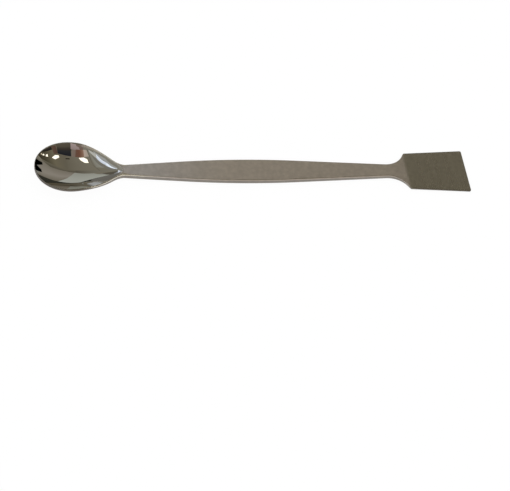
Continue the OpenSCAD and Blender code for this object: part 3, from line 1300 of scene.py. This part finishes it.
HUNG = (
    TentCard("flag_dark", (
        Line(overhead((0.42, -0.21), (0.06, -0.30)), (0.04, 0.042, 0.045)),
        Line(overhead((0.42, -0.08), (0.09, -0.08)), (0.018, 0.02, 0.03)),
    ), away=1.19),
    TentCard("flag_bar", (
        Line(overhead((0.42, -0.29), (0.04, -0.41)), (0.085, 0.075, 0.06)),
        Line(overhead((0.42, -0.20), (0.05, -0.30)), (0.045, 0.035, 0.03)),
    ), away=1.2),
    TentCard("flag_top", (
        Line(overhead((0.43, -0.38), (0.03, -0.56)), (0.14, 0.125, 0.095)),
        Line(overhead((0.42, -0.28), (0.05, -0.40)), (0.11, 0.095, 0.07)),
    ), away=1.21),
    TentCard("rose", (
        Line(overhead((0.03, -0.54), (-0.09, -0.54)), (0.55, 0.46, 0.47)),
        Line(overhead((0.06, -0.34), (-0.06, -0.34)), (0.42, 0.34, 0.34)),
    ), away=1.19),
    TentCard("dun", (
        Line(overhead((-0.09, -0.54), (-0.10, -0.54)), (0.27, 0.21, 0.18)),
        Line(overhead((-0.05, -0.36), (-0.08, -0.39)), (0.24, 0.17, 0.15)),
    ), away=1.2),
    TentCard("clay", (
        Line(overhead((-0.04, -0.35), (0.02, -0.08)), (0.20, 0.12, 0.09)),
        Line(overhead((-0.06, -0.37), (-0.02, -0.09)), (0.23, 0.11, 0.075)),
        Line(overhead((-0.08, -0.39), (-0.05, -0.12)), (0.42, 0.27, 0.20)),
    ), away=1.18),
    TentCard("sand", (
        Line(overhead((-0.08, -0.39), (-0.05, -0.12)), (0.70, 0.58, 0.52)),
        Line(overhead((-0.10, -0.39), (-0.08, -0.15)), (0.56, 0.52, 0.46)),
    ), away=1.17),
    TentCard("linen", (
        Line(overhead((0.05, -0.30), (0.08, -0.07)), (0.30, 0.25, 0.22)),
        Line(overhead((-0.04, -0.35), (0.01, -0.08)), (0.28, 0.21, 0.18)),
    ), away=1.2),
    TentCard("panel_right", (
        Line(overhead((-0.01, -0.06), (-0.045, -0.09), (-0.055, -0.02)), (2.3, 2.2, 2.0)),
        Line(overhead((-0.01, 0.03), (-0.025, 0.14), (-0.045, 0.14)), (2.3, 2.2, 2.0)),
    ), away=1.12),
    TentCard("spot", (
        Line(overhead((0.24, 0.03), (0.13, 0.00)), (0.035, 0.03, 0.02)),
        Line(overhead((0.24, 0.07), (0.13, 0.05)), (0.035, 0.03, 0.02)),
    ), away=1.12),
    TentCard("rail_near", (
        Line(overhead((-0.095, -0.40), (-0.05, 0.28), (-0.035, 0.75)), (0.20, 0.195, 0.16)),
        Line(overhead((-0.100, -0.40), (-0.055, 0.23), (-0.04, 0.65)), (0.20, 0.195, 0.16)),
    ), away=1.13),
    TentCard("rail_far", (
        Line(overhead((-0.095, -0.14), (-0.075, 0.24), (-0.045, 0.72)), (0.26, 0.26, 0.25)),
        Line(overhead((-0.100, -0.14), (-0.08, 0.22), (-0.055, 0.52)), (0.26, 0.27, 0.27)),
    ), away=1.13),
    TentCard("between", (
        Line(overhead((-0.10, -0.37), (-0.05, 0.39)), (0.33, 0.33, 0.29)),
        Line(overhead((-0.10, -0.27), (-0.065, 0.39)), (0.40, 0.41, 0.37)),
    ), away=1.22),
    TentCard("panel_left", (
        Line(overhead((0.60, 0.17), (0.50, 0.02), (0.41, -0.02)), (2.3, 2.2, 2.0)),
        Line(overhead((0.60, 0.19), (0.53, 0.20), (0.40, 0.05)), (2.3, 2.2, 2.0)),
    ), away=1.12),
    TentCard("spark_a", (
        Line(overhead((0.84, 0.24), (0.79, 0.18)), (2.2, 2.1, 1.8)),
        Line(overhead((0.84, 0.28), (0.80, 0.25)), (2.2, 2.1, 1.8)),
    ), away=1.12),
    TentCard("spark_b", (
        Line(overhead((0.75, 0.18), (0.70, 0.12)), (2.4, 2.3, 2.0)),
        Line(overhead((0.77, 0.26), (0.71, 0.22)), (2.4, 2.3, 2.0)),
    ), away=1.12),
    TentCard("spark_c", (
        Line(overhead((0.87, 0.24), (0.84, 0.20)), (1.0, 0.9, 0.7)),
        Line(overhead((0.88, 0.29), (0.85, 0.26)), (1.0, 0.9, 0.7)),
    ), away=1.12),
    TentCard("flag_left", (
        Line(overhead((0.82, 0.10), (0.55, -0.25)), (0.05, 0.045, 0.04)),
        Line(overhead((0.80, 0.12), (0.54, -0.15)), (0.012, 0.01, 0.006)),
    ), away=1.2),
    TentCard("bark", (
        Line(overhead((0.55, -0.25), (0.52, 0.00)), (0.17, 0.115, 0.085)),
        Line(overhead((0.44, -0.33), (0.42, -0.09)), (0.13, 0.075, 0.06)),
    ), away=1.18),
    TentCard("strip_low", (
        Line(overhead((-0.105, -0.40), (-0.125, -0.25)), (0.72, 0.75, 0.74)),
        Line(overhead((-0.100, -0.33), (-0.105, -0.10)), (0.72, 0.75, 0.74)),
    ), away=1.16),
    TentCard("strip_mid", (
        Line(overhead((-0.125, -0.25), (-0.115, 0.09)), (1.20, 1.35, 1.60)),
        Line(overhead((-0.105, -0.10), (-0.090, 0.20)), (0.90, 1.02, 1.25)),
    ), away=1.15),
    TentCard("strip_tip", (
        Line(overhead((-0.115, 0.09), (-0.075, 0.39), (-0.060, 0.50)), (1.40, 1.60, 1.90)),
        Line(overhead((-0.090, 0.20), (-0.055, 0.55), (-0.045, 0.80)), (1.20, 1.35, 1.60)),
    ), away=1.14),
    TentCard("outer", (
        Line(overhead((-0.125, -0.36), (-0.15, -0.10), (-0.115, 0.24)), (0.50, 0.52, 0.52)),
        Line(overhead((-0.120, -0.30), (-0.125, -0.02), (-0.06, 0.50)), (0.52, 0.56, 0.60)),
    ), away=1.23),
)

CARDS = CEILING + WALLS + HUNG


@dataclass(frozen=True)
class SoftLamp:
    """One soft lamp, facing the spoon.

    Attributes:
        name: Name of the lamp.
        toward: Direction of its centre from the spoon.
        away: Distance, metres.
        size: Width and height, metres.
        power: Watts.
        warmth: Colour, linear.
    """

    name: str
    toward: Point
    away: float
    size: tuple[float, float]
    power: float
    warmth: Colour


LAMPS = (
    SoftLamp("lamp_left", (0.485, 0.055, 1.0), 1.55, (0.27, 0.17), 1.0, (1.0, 0.97, 0.90)),
    SoftLamp("lamp_right", (0.045, 0.055, 1.0), 1.45, (0.12, 0.17), 0.45, (1.0, 0.97, 0.90)),
)


@dataclass(frozen=True)
class View:
    """The camera.

    Its place and the nearest thing that it sees are in metres, its turn in
    degrees, and its lens and the width of its sensor in millimetres.
    """

    spot: Point = (-0.1367, -0.4003, 0.5092)
    turn: Point = (35.805, -9.213, -7.497)
    lens: float = 97.86
    sensor: float = 36.0
    nearest: float = 0.01

    def build(self) -> bpy.types.Object:
        """Sets the scene's camera.

        Returns:
            The camera.
        """
        data = bpy.data.cameras.new("camera")
        data.lens = self.lens
        data.sensor_width = self.sensor
        data.sensor_fit = "HORIZONTAL"
        data.clip_start = self.nearest
        camera = bpy.data.objects.new("camera", data)
        camera.location = self.spot
        camera.rotation_euler = [math.radians(angle) for angle in self.turn]
        bpy.context.scene.collection.objects.link(camera)
        bpy.context.scene.camera = camera
        return camera


@dataclass(frozen=True)
class Studio:
    """Pale floor, tent of cards, soft lamps and the light all round.

    Attributes:
        spoon_place: The point that the cards and lamps face.
        floor_size: Side of the floor, metres.
        floor_tint: Colour of the floor, linear.
        floor_glow: Share of the floor that shows as plain white.
        floor_roughness: Roughness of the floor.
        floor_drop: How far the floor lies below the tool, metres.
        level: Strength of the light all round.
        mottle: How unevenly the cards are lit, as a share.
    """

    spoon_place: Point = (-0.088, 0.0, 0.004)
    floor_size: float = 8.0
    floor_tint: Colour = (0.97, 0.97, 0.965)
    floor_glow: float = 0.95
    floor_roughness: float = 0.9
    floor_drop: float = 0.00003
    level: float = 1.0
    mottle: float = 0.06

    def seen(self, nodes: Nodes) -> bpy.types.NodeSocket:
        """Tells rays that look at the background directly or in metal or glass.

        Args:
            nodes: Short hand for the nodes of a material or the world.

        Returns:
            1 for such a ray and 0 for others.
        """
        path = nodes.add("ShaderNodeLightPath").outputs
        shiny = nodes.math("MAXIMUM", path["Is Glossy Ray"], path["Is Transmission Ray"])
        return nodes.math("MAXIMUM", path["Is Camera Ray"], shiny)

    def build_world(self) -> None:
        """Light all round, seen as plain white."""
        world = bpy.data.worlds.new("studio_air")
        bpy.context.scene.world = world
        world.use_nodes = True
        nodes = Nodes(world.node_tree)
        background = world.node_tree.nodes["Background"]
        background.inputs["Color"].default_value = (1, 1, 1, 1)
        strength = nodes.mix(self.seen(nodes), self.level, 1.0)
        world.node_tree.links.new(strength, background.inputs["Strength"])

    def build_floor(self) -> bpy.types.Object:
        """Pale floor that shows as white, keeps the tool's shadow and is clear from below.

        Returns:
            The floor.
        """
        half = self.floor_size / 2
        mesh = bpy.data.meshes.new("floor")
        corners = [(-half, -half, 0), (half, -half, 0), (half, half, 0), (-half, half, 0)]
        mesh.from_pydata(corners, [], [(0, 1, 2, 3)])
        floor = bpy.data.objects.new("floor", mesh)
        floor.location.z = -self.floor_drop
        bpy.context.scene.collection.objects.link(floor)
        material = bpy.data.materials.new("pale_floor")
        material.use_nodes = True
        nodes = Nodes(material.node_tree)
        tree = material.node_tree
        plain = tree.nodes["Principled BSDF"]
        plain.inputs["Base Color"].default_value = opaque(self.floor_tint)
        plain.inputs["Roughness"].default_value = self.floor_roughness
        white = nodes.add("ShaderNodeEmission", {"Color": (1, 1, 1, 1), "Strength": 1.0})
        share = nodes.math("MULTIPLY", self.seen(nodes), self.floor_glow)
        mixed = nodes.add("ShaderNodeMixShader", {0: share, 1: plain.outputs[0], 2: white.outputs[0]})
        below = nodes.add("ShaderNodeNewGeometry").outputs["Backfacing"]
        clear = nodes.add("ShaderNodeBsdfTransparent")
        sided = nodes.add("ShaderNodeMixShader", {0: below, 1: mixed.outputs[0], 2: clear.outputs[0]})
        tree.links.new(sided.outputs[0], tree.nodes["Material Output"].inputs["Surface"])
        mesh.materials.append(material)
        return floor

    def build_card(self, card: TentCard) -> bpy.types.Object:
        """Hangs one card of the tent.

        Args:
            card: What to hang.

        Returns:
            The card's object, which only glossy rays see.
        """
        centre = Vector(self.spoon_place)
        points = [tuple(centre + Vector(place) * card.away) for line in card.lines for place in line.places]
        across = len(card.lines[0].places)
        faces = [
            (first, first + 1, first + 1 + across, first + across)
            for row in range(len(card.lines) - 1)
            for first in range(row * across, (row + 1) * across - 1)
        ]
        mesh = bpy.data.meshes.new(card.name)
        mesh.from_pydata(points, [], faces)
        glows = [opaque(line.glow) for line in card.lines for _ in line.places]
        layer = mesh.attributes.new("glow", "FLOAT_COLOR", "POINT")
        layer.data.foreach_set("color", np.array(glows, dtype=np.float32).ravel())
        panel = bpy.data.objects.new("card_" + card.name, mesh)
        bpy.context.scene.collection.objects.link(panel)
        material = bpy.data.materials.new("card_" + card.name)
        material.use_nodes = True
        tree = material.node_tree
        nodes = Nodes(tree)
        tree.nodes.remove(tree.nodes["Principled BSDF"])
        place = nodes.add("ShaderNodeTexCoord").outputs["Object"]
        cloud = nodes.noise(place, scale=1.3, detail=2.0)
        strength = nodes.mix(cloud, 1 - self.mottle, 1 + self.mottle)
        colour = nodes.add("ShaderNodeAttribute", attribute_name="glow").outputs["Color"]
        glow = nodes.add("ShaderNodeEmission", {"Color": colour, "Strength": strength})
        tree.links.new(glow.outputs[0], tree.nodes["Material Output"].inputs["Surface"])
        mesh.materials.append(material)
        for ray in ("camera", "diffuse", "transmission", "volume_scatter", "shadow"):
            setattr(panel, "visible_" + ray, False)
        return panel

    def build_lamp(self, lamp: SoftLamp) -> bpy.types.Object:
        """Hangs one soft lamp, turned to the spoon.

        Args:
            lamp: What to hang.

        Returns:
            The lamp's object.
        """
        data = bpy.data.lights.new(lamp.name, "AREA")
        data.shape = "RECTANGLE"
        data.size, data.size_y = lamp.size
        data.energy = lamp.power
        data.color = lamp.warmth
        toward = Vector(lamp.toward).normalized()
        body = bpy.data.objects.new(lamp.name, data)
        body.location = Vector(self.spoon_place) + toward * lamp.away
        body.rotation_euler = toward.to_track_quat("Z", "Y").to_euler()
        body.visible_glossy = False
        bpy.context.scene.collection.objects.link(body)
        return body

    def build(self) -> None:
        """Builds the studio and reports what hangs in it."""
        self.build_world()
        self.build_floor()
        for card in CARDS:
            self.build_card(card)
        for lamp in LAMPS:
            self.build_lamp(lamp)
        log.info("studio: %d cards, %d lamps", len(CARDS), len(LAMPS))


def main() -> None:
    """Builds the tool and its studio."""
    bpy.context.scene.view_settings.view_transform = "Standard"
    View().build()
    Studio().build()
    tool = Spatula()
    piece = tool.build()
    tool.dress(piece, ForgedSteel())
    log.info("%s: %d faces", piece.name, len(piece.data.polygons))


if __name__ == "__main__":
    main()
